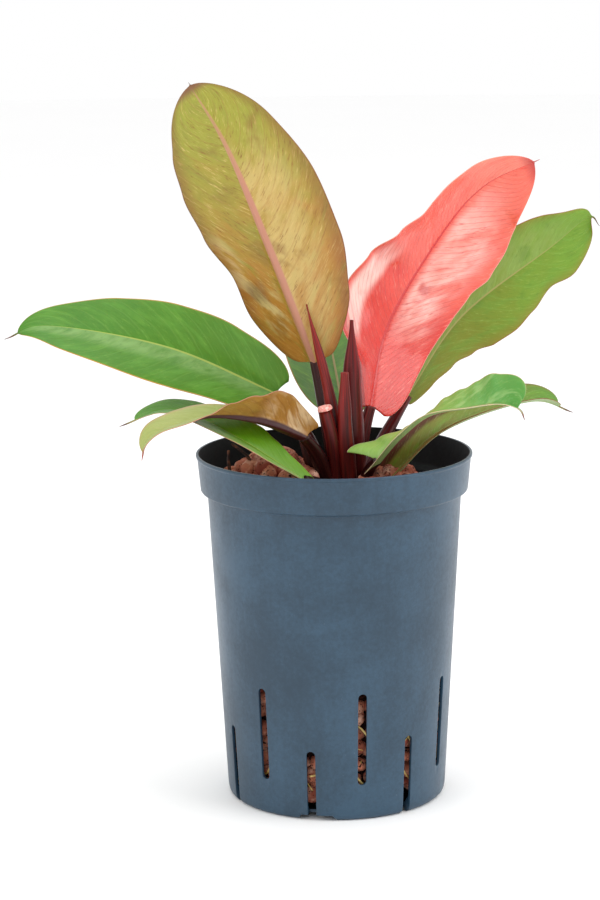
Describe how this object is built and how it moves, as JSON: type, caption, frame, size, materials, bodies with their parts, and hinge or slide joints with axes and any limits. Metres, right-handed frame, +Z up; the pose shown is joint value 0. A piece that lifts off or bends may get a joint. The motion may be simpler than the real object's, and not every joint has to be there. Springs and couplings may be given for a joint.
{
  "type": "potted philodendron",
  "caption": "Young philodendron with upright paddle-shaped leaves, growing in expanded clay in a round tapered pot with a rim band and slots low in its wall.",
  "frame": {"origin": "middle of the pot's underside, on the flat pad level with the foot ring", "axes": "+Z up along the pot's axis; -Y is the front, towards the viewer; +X is to the viewer's right"},
  "size_m": [0.3257, 0.1915, 0.3913],
  "materials": {
    "pot_plastic": "satin",
    "expanded_clay": "matte",
    "crown": "satin",
    "leaf_stalk": "satin",
    "sheath": "satin",
    "olive_blade": "satin",
    "red_blade": "gloss",
    "green_blade": "satin",
    "bronze_blade": "satin",
    "root": "matte",
    "dry_stalk": "matte"
  },
  "bodies": {
    "root": {"bronze_leaf_blade": "bronze_blade", "bronze_leaf_stalk": "leaf_stalk", "clay_bed": "expanded_clay", "crown": "crown", "cut_stalk_stub": "sheath", "front_left_sheath": "sheath", "front_right_leaf_blade": "green_blade", "front_right_leaf_stalk": "leaf_stalk", "front_spike_sheath": "sheath", "leaning_dry_stalk": "dry_stalk", "left_leaf_blade": "green_blade", "left_leaf_stalk": "leaf_stalk", "left_spike_sheath": "sheath", "low_left_leaf_blade": "green_blade", "low_left_leaf_stalk": "leaf_stalk", "low_right_leaf_blade": "green_blade", "low_right_leaf_stalk": "leaf_stalk", "middle_spike_sheath": "sheath", "pot": "pot_plastic", "rear_leaf_blade": "green_blade", "rear_leaf_stalk": "leaf_stalk", "red_leaf_blade": "red_blade", "red_leaf_stalk": "leaf_stalk", "right_leaf_blade": "green_blade", "right_leaf_stalk": "leaf_stalk", "root_1": "root", "root_2": "root", "root_3": "root", "root_4": "root", "root_5": "root", "tall_leaf_blade": "olive_blade", "tall_leaf_stalk": "leaf_stalk", "top_pellet_1": "expanded_clay", "top_pellet_10": "expanded_clay", "top_pellet_11": "expanded_clay", "top_pellet_12": "expanded_clay", "top_pellet_2": "expanded_clay", "top_pellet_3": "expanded_clay", "top_pellet_4": "expanded_clay", "top_pellet_5": "expanded_clay", "top_pellet_6": "expanded_clay", "top_pellet_7": "expanded_clay", "top_pellet_8": "expanded_clay", "top_pellet_9": "expanded_clay", "upright_dry_stalk": "dry_stalk"}
  },
  "joints": []
}
